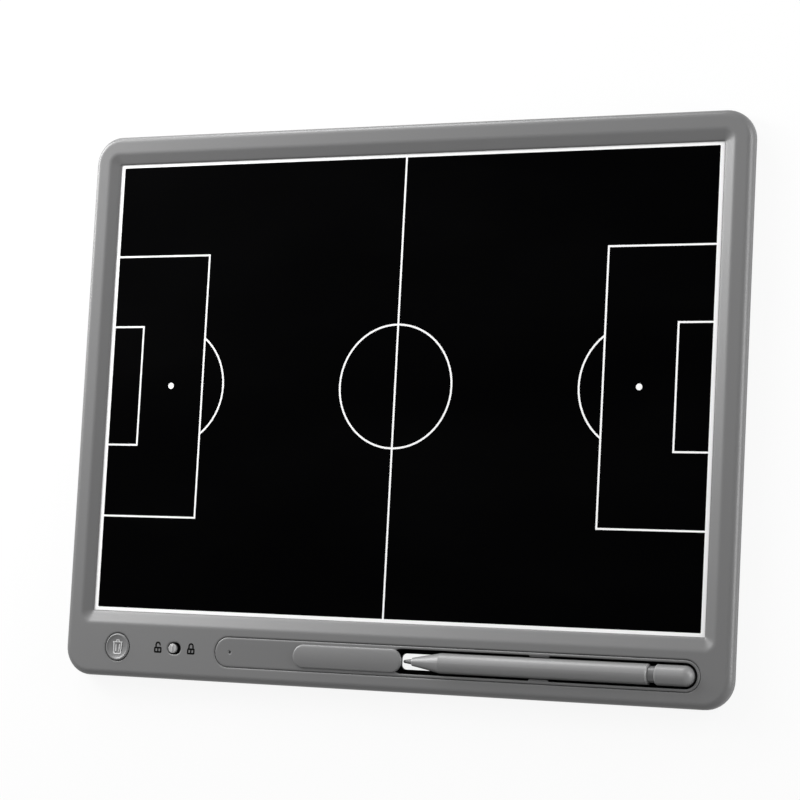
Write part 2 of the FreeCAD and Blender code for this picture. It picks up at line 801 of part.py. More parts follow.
def lock_lever():
    """Lever of the slide switch, which stands under the slider."""
    low = circuit_top_z + lever_floor_gap
    return block_at(knob_x, lock_y, lever_length, lever_width, low, flange_under_z)


def circuit_board():
    """Circuit board under the controls, with holes for its screws."""
    body = slab(circuit_length, circuit_height, circuit_corner_radius, circuit_under_z, circuit_top_z,
                circuit_x, row_y)
    holes = [cylinder(x, y, board_screw_shank_diameter + 2 * screw_gap, circuit_under_z - overrun,
                      circuit_top_z + overrun) for x, y in post_places()]
    return body.cut(holes)


def controller_chip():
    """Controller between the two switches."""
    chip_y = row_y - chip_drop_share * circuit_height
    return block_at(flex_x, chip_y, chip_size, chip_size, circuit_top_z, circuit_top_z + chip_height)


def flex_levels():
    """Height of the flat cable at the panel and at its connector."""
    return panel_z - panel_thickness / 2, circuit_top_z + connector_height / 2


def flex_connector():
    """Socket for the flat cable, at the circuit board's upper edge."""
    top = circuit_top_y - connector_edge_gap
    body = block_at(flex_x, top - connector_depth / 2, connector_length, connector_depth,
                    circuit_top_z, circuit_top_z + connector_height)
    mouth_half = flex_width / 2 + fit_gap
    mouth_end = top - connector_mouth_depth - fit_gap
    mouth_z = flex_levels()[1]
    mouth_rise = flex_thickness / 2 + screw_gap
    mouth = block(flex_x - mouth_half, flex_x + mouth_half, mouth_end, top + overrun,
                  mouth_z - mouth_rise, mouth_z + mouth_rise)
    return body.cut(mouth)


def panel_flex():
    """Flat cable that steps down from the panel's lower edge into its connector."""
    start_z, end_z = flex_levels()
    drop = start_z - end_z
    reach = panel_bottom_y - (circuit_top_y - connector_edge_gap - connector_mouth_depth)
    level = reach - s_bend_run(drop, flex_bend_radius)
    lead = (level - connector_mouth_depth) / 2
    start = point(flex_x, panel_bottom_y, start_z)
    path = s_bend(start, point(0, -1, 0), lead, drop, flex_bend_radius, level - lead)
    return swept_strip(path, x_axis, z_axis, flex_width, flex_thickness)


def coin_cell():
    """Coin cell: wide can below, narrower cap above."""
    can_top_z = cell_top_z - cell_cap_height
    can = cylinder(cell_x, cell_y, cell_diameter, cell_under_z, can_top_z)
    can = can.makeFillet(cell_edge_radius, flat_edges(can, cell_under_z))
    return can.fuse(cylinder(cell_x, cell_y, cell_cap_diameter, can_top_z, cell_top_z)).removeSplitter()


def contact_negative():
    """Leaf that lies on the cell's cap and steps down to the circuit board."""
    start_z = cell_top_z + contact_thickness / 2
    drop = start_z - circuit_top_z - contact_thickness / 2
    run = s_bend_run(drop, contact_bend_radius)
    start = point(cell_x - cell_radius + contact_overlap, cell_y + contact_spacing, start_z)
    lead = start.x - circuit_right - run
    path = s_bend(start, point(-1, 0, 0), lead, drop, contact_bend_radius, contact_foot)
    return swept_strip(path, point(0, 1, 0), z_axis, contact_width, contact_thickness)


def contact_positive():
    """Leaf that stands against the can's side and bends over on to the circuit board."""
    leg_x = cell_x - cell_radius - contact_thickness / 2
    foot_z = circuit_top_z + contact_thickness / 2
    bend = contact_bend_radius
    start = point(leg_x, cell_y, floor_z + screw_gap)
    bend_start = point(leg_x, cell_y, foot_z - bend)
    bend_middle = point(leg_x - bend * (1 - diagonal_share), cell_y, foot_z - bend * (1 - diagonal_share))
    bend_end = point(leg_x - bend, cell_y, foot_z)
    path = lines([start, bend_start]) + [Part.Arc(bend_start, bend_middle, bend_end).toShape()]
    path += lines([bend_end, point(circuit_right - contact_foot, cell_y, foot_z)])
    return swept_strip(path, point(0, 1, 0), x_axis, contact_width, contact_thickness)


def battery_door():
    """Door flush with the back, with two hooks at one end and a sunk screw at the other."""
    body = slab(door_right - door_left, door_width, door_corner_radius, rear_z, door_top_z,
                (door_left + door_right) / 2, cell_y)
    hooks = []
    for side in (-1, 1):
        hook_y = cell_y + side * hook_spacing / 2
        low_y = hook_y - hook_width / 2
        high_y = hook_y + hook_width / 2
        stub_left = door_left + hook_setback
        hooks.append(block(stub_left, hook_right, low_y, high_y, door_top_z, hook_top_z))
        hooks.append(block(door_left - hook_reach, hook_right, low_y, high_y, hook_under_z, hook_top_z))
    body = body.fuse(hooks)
    sink_z = rear_z + door_screw_head_height + door_screw_head_drop
    sink_diameter = door_screw_head_diameter + 2 * fit_gap
    sink = cylinder(door_screw_x, cell_y, sink_diameter, rear_z - overrun, sink_z)
    bore_diameter = door_screw_shank_diameter + 2 * screw_gap
    bore = cylinder(door_screw_x, cell_y, bore_diameter, rear_z, door_top_z + overrun)
    grip = slab(door_grip_length, door_grip_width, door_grip_length / 2, rear_z - overrun,
                rear_z + door_grip_depth, door_right - 2 * door_screw_from_end, cell_y)
    return body.cut([sink, bore, grip]).removeSplitter()


def screw(x, y, head_low, head_diameter, head_height, shank_diameter, shank_length):
    """Cross-slotted screw that points up, by the level of its head's outer face."""
    head_top = head_low + head_height
    head = cylinder(x, y, head_diameter, head_low, head_top)
    body = head.fuse(cylinder(x, y, shank_diameter, head_top, head_top + shank_length))
    slot_length = driver_slot_share * head_diameter
    slot_top = head_low + driver_depth_share * head_height
    slot_low = head_low - overrun
    slots = [block_at(x, y, slot_length, driver_slot_width, slot_low, slot_top)]
    slots.append(block_at(x, y, driver_slot_width, slot_length, slot_low, slot_top))
    return body.cut(slots).removeSplitter()


def battery_door_screw():
    """Small screw that stays with the battery door."""
    return screw(door_screw_x, cell_y, rear_z + door_screw_head_drop, door_screw_head_diameter,
                 door_screw_head_height, door_screw_shank_diameter, door_screw_shank_length)


def board_screws():
    """Screws that hold the circuit board to its posts."""
    head_low = circuit_under_z - board_screw_head_height
    return Part.makeCompound([
        screw(x, y, head_low, board_screw_head_diameter, board_screw_head_height, board_screw_shank_diameter,
              board_screw_shank_length) for x, y in post_places()])


def case_screws():
    """Screws that close the case from the back."""
    head_low = rear_z + case_screw_sink - case_screw_head_height
    return Part.makeCompound([
        screw(x, y, head_low, case_screw_head_diameter, case_screw_head_height, case_screw_shank_diameter,
              case_screw_shank_length) for x, y in case_screw_places()])


def foot(x, y):
    """Round rubber foot, seated in a shallow recess of the back."""
    body = cylinder(x, y, foot_diameter, 0, rear_z + foot_recess)
    return body.makeFillet(foot_edge_radius, flat_edges(body, 0))


def pen_outline(profile):
    """Solid turned about the pen's axis from pairs of place along X and radius."""
    corners = [point(x, tray_y, pen_axis_z + radius) for x, radius in profile]
    return turned(lines(corners + corners[:1]), point(0, tray_y, pen_axis_z), x_axis)


def pen_rod(left, right, diameter):
    """Cylinder on the pen's axis."""
    return Part.makeCylinder(diameter / 2, right - left, point(left, tray_y, pen_axis_z), x_axis)


def pen_barrel():
    """Barrel with a tapered nose, bored for the nib and for the end cap's spigot."""
    radius = pen_diameter / 2
    nose_left = pen_tip + nib_length
    profile = [(nose_left, 0), (nose_left, nose_end_diameter / 2), (pen_tip + nose_length, radius)]
    profile += [(neck_left - pen_chamfer, radius), (neck_left, radius - pen_chamfer), (neck_left, 0)]
    nib_bore = pen_rod(nose_left - overrun, nose_left + nib_shank, nib_diameter + 2 * screw_gap)
    spigot_bore = pen_rod(neck_left - spigot_length, neck_left + overrun, spigot_diameter + 2 * screw_gap)
    return pen_outline(profile).cut([nib_bore, spigot_bore])


def pen_nib():
    """Nib with a rounded point, on a shank inside the nose."""
    def at(x, radius):
        return point(x, tray_y, pen_axis_z + radius)

    shoulder = pen_tip + nib_tip_radius
    diagonal = diagonal_share * nib_tip_radius
    tip = Part.Arc(at(pen_tip, 0), at(shoulder - diagonal, diagonal), at(shoulder, nib_tip_radius))
    shank_start = pen_tip + nib_length
    shank_end = shank_start + nib_shank
    corners = [at(shoulder, nib_tip_radius), at(shank_start, nib_diameter / 2)]
    corners += [at(shank_end, nib_diameter / 2), at(shank_end, 0), at(pen_tip, 0)]
    return turned([tip.toShape()] + lines(corners), at(0, 0), x_axis)


def pen_neck_ring():
    """Narrow ring between the barrel and the end cap."""
    ring = pen_rod(neck_left, neck_right, neck_ring_diameter)
    return ring.cut(pen_rod(neck_left - overrun, neck_right + overrun, spigot_diameter + 2 * screw_gap))


def pen_end_cap():
    """Domed end of the pen, on a spigot that passes through the neck ring into the barrel."""
    radius = pen_diameter / 2

    def at(x, height):
        return point(x, tray_y, pen_axis_z + height)

    dome_left = pen_end - radius
    diagonal = diagonal_share * radius
    dome = Part.Arc(at(dome_left, radius), at(dome_left + diagonal, diagonal), at(pen_end, 0))
    corners = [at(pen_end, 0), at(neck_right, 0), at(neck_right, radius - pen_chamfer)]
    corners += [at(neck_right + pen_chamfer, radius), at(dome_left, radius)]
    cap = turned(lines(corners) + [dome.toShape()], at(0, 0), x_axis)
    spigot = pen_rod(neck_left - spigot_length + screw_gap, neck_right, spigot_diameter)
    return cap.fuse(spigot).removeSplitter()


def main():
    """Build every sub-part and write it to its own file."""
    os.makedirs("parts", exist_ok=True)
    makers = (front_bezel, rear_cover, writing_panel, pitch_markings, panel_tape, backing_board, panel_flex,
              flex_connector, circuit_board, controller_chip, erase_button, erase_switch, erase_plunger,
              lock_slider, lock_switch, lock_lever, pen_tray, tip_guard, pen_barrel, pen_nib, pen_neck_ring,
              pen_end_cap, coin_cell, contact_positive, contact_negative, battery_door, battery_door_screw,
              board_screws, case_screws)
    nodes = {maker.__name__: maker() for maker in makers}
    for name, place in foot_places().items():
        nodes[name] = foot(*place)
    for name, shape in nodes.items():
        shape.exportStep("parts/" + name + ".step")
        print(name, "solids", len(shape.Solids), "volume", round(shape.Volume, 1), "valid", shape.isValid())


main()
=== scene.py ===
"""Dressed model of an electronic football tactics board with its pen lying in the tray."""

import logging
import math
from dataclasses import dataclass
from enum import Enum
from typing import Callable, Sequence, Union

import bmesh
import bpy
from mathutils import Matrix, Vector


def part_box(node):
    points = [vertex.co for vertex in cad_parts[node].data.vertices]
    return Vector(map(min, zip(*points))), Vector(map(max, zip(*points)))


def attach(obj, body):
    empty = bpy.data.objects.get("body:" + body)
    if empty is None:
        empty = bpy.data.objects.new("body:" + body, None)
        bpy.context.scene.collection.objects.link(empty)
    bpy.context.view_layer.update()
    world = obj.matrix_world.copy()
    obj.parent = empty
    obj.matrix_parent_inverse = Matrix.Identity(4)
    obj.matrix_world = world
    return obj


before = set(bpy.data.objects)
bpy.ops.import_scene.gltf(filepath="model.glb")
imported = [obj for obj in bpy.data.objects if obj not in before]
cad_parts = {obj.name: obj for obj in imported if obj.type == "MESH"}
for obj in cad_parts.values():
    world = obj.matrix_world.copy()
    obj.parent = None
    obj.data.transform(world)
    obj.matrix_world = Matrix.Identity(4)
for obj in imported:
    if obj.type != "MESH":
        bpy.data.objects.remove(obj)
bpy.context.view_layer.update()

LOG = logging.getLogger("tactics_board")
MM = 0.001
WHITE = (1.0, 1.0, 1.0)
SPECULAR = "Specular IOR Level"
MIX_SHARE, MIX_FIRST, MIX_SECOND, MIX_RESULT = 0, 6, 7, 2
EDGE_SAMPLES = 4
SOFT_SAMPLES = 8
CORNER_STEPS = 4
BEVEL_SEGMENTS = 2
BEVEL_ANGLE = math.radians(50)

Colour = tuple[float, float, float]
Triple = tuple[float, float, float]
Point = tuple[float, float]
Span = tuple[float, float]
Level = Callable[[float, float], float]
Input = Union["Value", float, tuple]


class Axis(Enum):
    """Axis of the shared frame, with its output on a Separate XYZ node."""

    X = 0
    Y = 1
    Z = 2


class Lay(Enum):
    """Direction of the fine lines in a metal surface, with the stretch that gives them."""

    ALONG_X = (0.02, 1.0, 1.0)
    EVERY_WAY = (1.0, 1.0, 1.0)


class Shackle(Enum):
    """State of a padlock sign, with the lift of its bow's free end as a share of the bow's height."""

    OPEN = 0.62
    CLOSED = 0.0


class Value:
    """One output of a shader node, with Python's arithmetic."""

    def __init__(self, shader: "Shader", socket: bpy.types.NodeSocket | None) -> None:
        """Keeps the socket, if the node has one, and the shader that it belongs to."""
        self.shader = shader
        self.socket = socket

    def _math(self, operation: str, first: Input, second: Input = 0.0) -> "Value":
        """Adds one Math node.

        Args:
            operation: Blender's name of the operation.
            first: left-hand number or value.
            second: right-hand number or value.

        Returns:
            The node's result.
        """
        return self.shader.node("ShaderNodeMath", {"operation": operation}, {0: first, 1: second})

    def __add__(self, other: Input) -> "Value":
        """Sum."""
        return self._math("ADD", self, other)

    def __radd__(self, other: Input) -> "Value":
        """Sum, with the number on the left."""
        return self._math("ADD", other, self)

    def __sub__(self, other: Input) -> "Value":
        """Difference."""
        return self._math("SUBTRACT", self, other)

    def __rsub__(self, other: Input) -> "Value":
        """Difference, with the number on the left."""
        return self._math("SUBTRACT", other, self)

    def __mul__(self, other: Input) -> "Value":
        """Product."""
        return self._math("MULTIPLY", self, other)

    def __rmul__(self, other: Input) -> "Value":
        """Product, with the number on the left."""
        return self._math("MULTIPLY", other, self)

    def larger(self, other: Input) -> "Value":
        """The larger of two values."""
        return self._math("MAXIMUM", self, other)

    def wave(self, length: float) -> "Value":
        """Sine wave of a given length, from -1 to 1."""
        return self._math("SINE", self * (2.0 * math.pi / length))

    def lifted(self) -> "Value":
        """A wave from -1 to 1 brought to the range from 0 to 1."""
        return self * 0.5 + 0.5

    def swing(self, width: float) -> "Value":
        """A value from 0 to 1 brought to swing about 0, over a given width."""
        return (self - 0.5) * width

    def rise(self, low: float, high: float) -> "Value":
        """Smooth step.

        Args:
            low: value at which the step leaves 0.
            high: value at which the step reaches 1.

        Returns:
            A value from 0 to 1.
        """
        return self.shader.node(
            "ShaderNodeMapRange", {"interpolation_type": "SMOOTHSTEP", "clamp": True},
            {"Value": self, "From Min": low, "From Max": high})


class Shader:
    """Node tree of one surface, written as expressions."""

    def __init__(self, name: str, owner: bpy.types.ID | None = None) -> None:
        """Starts an empty node tree.

        Args:
            name: name of the new material.
            owner: a world that takes the nodes in place of a new material.
        """
        self.material = owner or bpy.data.materials.new(name)
        self.material.use_nodes = True
        self.tree = self.material.node_tree
        self.tree.nodes.clear()

    def node(self, kind: str, settings: dict | None = None, sockets: dict | None = None,
             output: int | str = 0) -> Value:
        """Adds one node.

        Args:
            kind: Blender's name of the node's type.
            settings: attributes of the node, set before anything is linked.
            sockets: input name or index to a number, tuple or value.
            output: name or index of the output to return.

        Returns:
            That output.
        """
        made = self.tree.nodes.new(kind)
        for key, setting in (settings or {}).items():
            setattr(made, key, setting)
        for key, entry in (sockets or {}).items():
            if isinstance(entry, Value):
                self.tree.links.new(entry.socket, made.inputs[key])
            else:
                made.inputs[key].default_value = entry
        return Value(self, made.outputs[output] if made.outputs else None)

    def place(self) -> Value:
        """Place on the piece in its own frame, which it keeps as it moves."""
        return self.node("ShaderNodeTexCoord", output="Object")

    def along(self, place: Value, axis: Axis) -> Value:
        """One coordinate of a place."""
        return self.node("ShaderNodeSeparateXYZ", sockets={"Vector": place}, output=axis.value)

    def uprightness(self) -> Value:
        """How far the surface faces up in the piece's own frame: 1 where it lies flat."""
        return self.along(self.node("ShaderNodeTexCoord", output="Normal"), Axis.Z)

    def stretched(self, place: Value, scale: Triple) -> Value:
        """Place with each coordinate multiplied by its own number."""
        return self.node("ShaderNodeVectorMath", {"operation": "MULTIPLY"}, {0: place, 1: scale})

    def reach(self, place: Value, centre: Point) -> Value:
        """Distance from an upright axis.

        Args:
            place: place on the piece.
            centre: where the axis stands.

        Returns:
            The distance in metres.
        """
        flat = self.stretched(place, (1.0, 1.0, 0.0))
        return self.node("ShaderNodeVectorMath", {"operation": "DISTANCE"},
                         {0: flat, 1: (*centre, 0.0)}, "Value")

    def noise(self, place: Value, size: float, detail: float) -> Value:
        """Noise from 0 to 1.

        Args:
            place: place on the piece.
            size: width of its largest blots in metres.
            detail: number of finer layers.

        Returns:
            The noise.
        """
        return self.node("ShaderNodeTexNoise", {"noise_dimensions": "3D"},
                         {"Vector": place, "Scale": 1.0 / size, "Detail": detail}, "Fac")

    def cells(self, place: Value, size: float) -> Value:
        """Distance to the nearest of a scatter of points, in cell widths."""
        return self.node("ShaderNodeTexVoronoi", {"feature": "F1"},
                         {"Vector": place, "Scale": 1.0 / size}, "Distance")

    def edge(self, radius: float, gain: float = 6.0) -> Value:
        """Mask of the edges of a piece.

        Args:
            radius: width of the edge in metres.
            gain: how soon the mask reaches 1.

        Returns:
            0 on open faces, up to 1 along edges.
        """
        rounded = self.node("ShaderNodeBevel", {"samples": EDGE_SAMPLES}, {"Radius": radius})
        plain = self.node("ShaderNodeNewGeometry", output="Normal")
        likeness = self.node("ShaderNodeVectorMath", {"operation": "DOT_PRODUCT"},
                             {0: rounded, 1: plain}, "Value")
        return ((1.0 - likeness) * gain).rise(0.0, 1.0)

    def toned(self, colour: Colour, tone: Value) -> Value:
        """Colour multiplied by a tone."""
        return self.node("ShaderNodeMix", {"data_type": "RGBA", "blend_type": "MULTIPLY"},
                         {MIX_SHARE: 1.0, MIX_FIRST: (*colour, 1.0), MIX_SECOND: tone}, MIX_RESULT)

    def mixed(self, first: Colour, second: Colour, share: Value) -> Value:
        """Mix of two colours.

        Args:
            first: colour where the share is 0.
            second: colour where the share is 1.
            share: how much of the second colour shows.

        Returns:
            The mixed colour.
        """
        return self.node("ShaderNodeMix", {"data_type": "RGBA", "clamp_factor": True},
                         {MIX_SHARE: share, MIX_FIRST: (*first, 1.0), MIX_SECOND: (*second, 1.0)},
                         MIX_RESULT)

    def skin(self, colour: Value, roughness: Value, height: Value, depth: float,
             fixed: dict[str, float] | None = None, soft: float = 0.0) -> Value:
        """Makes one surface shader with relief.

        Args:
            colour: base colour.
            roughness: roughness from 0 to 1.
            height: relief from 0 to 1.
            depth: how deep the relief is, in metres.
            fixed: numbers that are the same all over, by socket name.
            soft: radius to which the light sees the edges rounded, in metres.

        Returns:
            The shader.
        """
        bump: dict[str, Input] = {"Strength": 1.0, "Distance": depth, "Height": height}
        if soft:
            bump["Normal"] = self.node("ShaderNodeBevel", {"samples": SOFT_SAMPLES}, {"Radius": soft})
        relief = self.node("ShaderNodeBump", sockets=bump)
        return self.node("ShaderNodeBsdfPrincipled", sockets={
            **(fixed or {}), "Base Color": colour, "Roughness": roughness, "Normal": relief})

    def closed(self, shader: Value) -> bpy.types.Material:
        """Material that shows a shader."""
        self.node("ShaderNodeOutputMaterial", sockets={"Surface": shader})
        return self.material

    def surface(self, colour: Value, roughness: Value, height: Value, depth: float,
                fixed: dict[str, float] | None = None) -> bpy.types.Material:
        """Material of one surface shader, with the values that the skin takes."""
        return self.closed(self.skin(colour, roughness, height, depth, fixed))


@dataclass(frozen=True)
class MouldedPlastic:
    """Injection-moulded plastic with a spark-eroded grain, edges worn smooth and edge colour lightened,
    partly for wear and partly as a painted highlight.
    """

    name: str
    colour: Colour
    roughness: float = 0.5
    grain: float = 0.28 * MM
    grain_depth: float = 0.008 * MM
    grain_roughness: float = 0.08
    cloud: float = 22.0 * MM
    cloud_roughness: float = 0.06
    mottle: float = 0.05
    edge_width: float = 0.35 * MM
    edge_wear_and_highlight: float = 0.10
    edge_polish: float = 0.08
    specular: float = 0.5
    soft_edge: float = 0.0
    flat_dulling: float = 0.0
    flat_span: Span = (0.97, 0.995)
    # painted shade: below this height the colour is a dull black that stands for the shade deep in
    # slots
    painted_shade_level: float | None = None
    painted_shade_blend: float = 0.1 * MM
    painted_shade_colour: Colour = (0.004, 0.004, 0.004)
    painted_shade_roughness: float = 0.8
    painted_shade_swing: float = 0.1
    painted_shade_specular: float = 0.03

    def material(self) -> bpy.types.Material:
        """Builds the finish, with a dull black painted below a given height as the shade deep in slots,
        where a height is given.

        Returns:
            The finished material.
        """
        shader = Shader(self.name)
        place = shader.place()
        pits = shader.noise(place, self.grain, detail=3.0)
        cloud = shader.noise(place, self.cloud, detail=3.0)
        worn_and_highlit_edge = shader.edge(self.edge_width)
        # painted highlight: the edge lightening stands partly for wear and partly for light caught on
        # rounded edges
        tone = 1.0 + cloud.swing(self.mottle) + pits.swing(self.mottle) + worn_and_highlit_edge * self.edge_wear_and_highlight
        roughness = (self.roughness + pits.swing(self.grain_roughness)
                     + cloud.swing(self.cloud_roughness) - worn_and_highlit_edge * self.edge_polish)
        if self.flat_dulling:
            roughness = roughness + shader.uprightness().rise(*self.flat_span) * self.flat_dulling
        plain = shader.skin(shader.toned(self.colour, tone), roughness, pits, self.grain_depth,
                            {SPECULAR: self.specular}, self.soft_edge)
        if self.painted_shade_level is None:
            return shader.closed(plain)
        # painted shade: below the given height the surface turns dull black to stand for the shade down
        # the slot
        dull = shader.skin(
            shader.toned(self.painted_shade_colour, tone), self.painted_shade_roughness + pits.swing(self.painted_shade_swing),
            pits, self.grain_depth, {SPECULAR: self.painted_shade_specular})
        proud = shader.along(place, Axis.Z).rise(
            self.painted_shade_level - self.painted_shade_blend, self.painted_shade_level + self.painted_shade_blend)
        return shader.closed(shader.node("ShaderNodeMixShader", sockets={0: proud, 1: dull, 2: plain}))


@dataclass(frozen=True)
class WritingFilm:
    """Black pressure-sensitive film with a fine matt top coat and faint traces of wiping."""

    name: str
    colour: Colour = (0.0004, 0.0004, 0.0005)
    haze: Colour = (0.0010, 0.0010, 0.0011)
    haze_span: Span = (0.35, 0.75)
    roughness: float = 0.42
    grain: float = 0.12 * MM
    grain_depth: float = 0.002 * MM
    wipe: float = 60.0 * MM
    wipe_stretch: Triple = (0.35, 1.0, 1.0)
    wipe_roughness: float = 0.18
    specular: float = 0.004

    def material(self) -> bpy.types.Material:
        """Builds the finish.

        Returns:
            The finished material.
        """
        shader = Shader(self.name)
        place = shader.place()
        grain = shader.noise(place, self.grain, detail=1.0)
        wiped = shader.noise(shader.stretched(place, self.wipe_stretch), self.wipe, detail=4.0)
        colour = shader.mixed(self.colour, self.haze, wiped.rise(*self.haze_span))
        roughness = self.roughness + wiped.swing(self.wipe_roughness)
        return shader.surface(colour, roughness, grain, self.grain_depth, {SPECULAR: self.specular})


@dataclass(frozen=True)
class ScreenInk:
    """Ink printed through a fine screen, with the screen's weave left in its surface."""

    name: str
    colour: Colour
    roughness: float = 0.6
    screen: float = 0.16 * MM
    screen_depth: float = 0.004 * MM
    screen_share: float = 0.3
    cover: float = 9.0 * MM
    cover_span: Span = (0.45, 0.9)
    cover_roughness: float = 0.15
    unevenness: float = 0.05
    specular: float = 0.3

    def material(self) -> bpy.types.Material:
        """Builds the finish.

        Returns:
            The finished material.
        """
        shader = Shader(self.name)
        place = shader.place()
        across = shader.along(place, Axis.X).wave(self.screen)
        down = shader.along(place, Axis.Y).wave(self.screen)
        weave = (across * down).lifted()
        cover = shader.noise(place, self.cover, detail=4.0)
        thin = cover.rise(*self.cover_span) * self.unevenness
        tone = 1.0 - thin - (1.0 - weave) * (self.screen_share * self.unevenness)
        roughness = self.roughness + cover.swing(self.cover_roughness)
        return shader.surface(shader.toned(self.colour, tone), roughness, weave, self.screen_depth,
                              {SPECULAR: self.specular})


@dataclass(frozen=True)
class Rubber:
    """Dull rubber with dust in its pores."""

    name: str
    colour: Colour
    dust: Colour = (0.10, 0.10, 0.098)
    dust_blot: float = 4.0 * MM
    dust_span: Span = (0.52, 0.85)
    dust_share: float = 0.35
    edge_width: float = 0.3 * MM
    edge_dust: float = 0.15
    roughness: float = 0.82
    pore: float = 0.45 * MM
    pore_depth: float = 0.03 * MM
    pore_roughness: float = 0.1
    specular: float = 0.3

    def material(self) -> bpy.types.Material:
        """Builds the finish.

        Returns:
            The finished material.
        """
        shader = Shader(self.name)
        place = shader.place()
        pores = shader.cells(place, self.pore)
        dusty = shader.noise(place, self.dust_blot, detail=5.0).rise(*self.dust_span) * self.dust_share
        dusty = dusty + shader.edge(self.edge_width) * self.edge_dust
        colour = shader.mixed(self.colour, self.dust, dusty)
        roughness = self.roughness + pores.swing(self.pore_roughness)
        return shader.surface(colour, roughness, pores, self.pore_depth, {SPECULAR: self.specular})


@dataclass(frozen=True)
class PlatedSteel:
    """Plated or bright steel with the fine lines of its rolling or turning."""

    name: str
    colour: Colour
    tarnish: Colour
    tarnish_blot: float = 2.5 * MM
    tarnish_span: Span = (0.5, 0.85)
    tarnish_share: float = 0.6
    tarnish_roughness: float = 0.12
    lay: Lay = Lay.EVERY_WAY
    roughness: float = 0.32
    line: float = 0.10 * MM
    line_depth: float = 0.003 * MM
    line_roughness: float = 0.2
    edge_width: float = 0.15 * MM
    edge_polish: float = 0.08

    def material(self) -> bpy.types.Material:
        """Builds the finish.

        Returns:
            The finished material.
        """
        shader = Shader(self.name)
        place = shader.place()
        lines = shader.noise(shader.stretched(place, self.lay.value), self.line, detail=3.0)
        dull = shader.noise(place, self.tarnish_blot, detail=4.0).rise(*self.tarnish_span)
        bright = shader.edge(self.edge_width)
        colour = shader.mixed(self.colour, self.tarnish, dull * self.tarnish_share * (1.0 - bright))
        roughness = (self.roughness + lines.swing(self.line_roughness)
                     + dull * self.tarnish_roughness - bright * self.edge_polish)
        return shader.surface(colour, roughness, lines, self.line_depth, {"Metallic": 1.0})


@dataclass(frozen=True)
class TurnedCan:
    """Steel can of a coin cell, with rings of brushing round its middle."""

    name: str
    centre: Point
    colour: Colour = (0.62, 0.61, 0.59)
    stain: Colour = (0.42, 0.40, 0.37)
    stain_span: Span = (0.5, 0.9)
    stain_share: float = 0.5
    roughness: float = 0.28
    ring: float = 0.22 * MM
    ring_depth: float = 0.004 * MM
    ring_roughness: float = 0.1
    wear: float = 1.4 * MM
    wear_roughness: float = 0.16

    def material(self) -> bpy.types.Material:
        """Builds the finish.

        Returns:
            The finished material.
        """
        shader = Shader(self.name)
        place = shader.place()
        rings = shader.reach(place, self.centre).wave(self.ring).lifted()
        worn = shader.noise(place, self.wear, detail=4.0)
        colour = shader.mixed(self.colour, self.stain, worn.rise(*self.stain_span) * self.stain_share)
        roughness = self.roughness + rings.swing(self.ring_roughness) + worn.swing(self.wear_roughness)
        return shader.surface(colour, roughness, rings * worn, self.ring_depth, {"Metallic": 1.0})


@dataclass(frozen=True)
class CircuitLaminate:
    """Glass laminate under green solder mask, with copper tracks that stand a little proud."""

    name: str
    mask: Colour = (0.012, 0.10, 0.035)
    track: Colour = (0.03, 0.21, 0.075)
    pitch: float = 1.3 * MM
    track_depth: float = 0.03 * MM
    track_span: Span = (0.2, 0.45)
    bend: float = 9.0 * MM
    bend_pitches: float = 4.0
    field: float = 6.0 * MM
    field_span: Span = (0.45, 0.5)
    weave: float = 0.3 * MM
    weave_height: float = 0.1
    weave_roughness: float = 0.15
    roughness: float = 0.3
    coat: float = 0.3

    def material(self) -> bpy.types.Material:
        """Builds the finish.

        Returns:
            The finished material.
        """
        shader = Shader(self.name)
        place = shader.place()
        bend = shader.noise(place, self.bend, detail=0.0) * (self.bend_pitches * self.pitch)
        wave = (shader.along(place, Axis.Y) + bend).wave(self.pitch)
        fields = shader.noise(place, self.field, detail=1.0).rise(*self.field_span)
        tracks = wave.rise(*self.track_span) * fields
        weave = shader.noise(place, self.weave, detail=1.0)
        colour = shader.mixed(self.mask, self.track, tracks)
        roughness = self.roughness + weave.swing(self.weave_roughness)
        return shader.surface(colour, roughness, tracks + weave * self.weave_height, self.track_depth,
                              {"Coat Weight": self.coat})


@dataclass(frozen=True)
class FlexFilm:
    """Amber film over straight copper tracks."""

    name: str
    film: Colour = (0.36, 0.15, 0.025)
    copper: Colour = (0.50, 0.24, 0.09)
    pitch: float = 0.8 * MM
    track_depth: float = 0.02 * MM
    track_span: Span = (-0.2, 0.2)
    cloud: float = 3.0 * MM
    cloud_height: float = 0.2
    cloud_roughness: float = 0.2
    roughness: float = 0.34

    def material(self) -> bpy.types.Material:
        """Builds the finish.

        Returns:
            The finished material.
        """
        shader = Shader(self.name)
        place = shader.place()
        tracks = shader.along(place, Axis.X).wave(self.pitch).rise(*self.track_span)
        cloud = shader.noise(place, self.cloud, detail=3.0)
        colour = shader.mixed(self.film, self.copper, tracks)
        roughness = self.roughness + cloud.swing(self.cloud_roughness)
        return shader.surface(colour, roughness, tracks + cloud * self.cloud_height, self.track_depth)


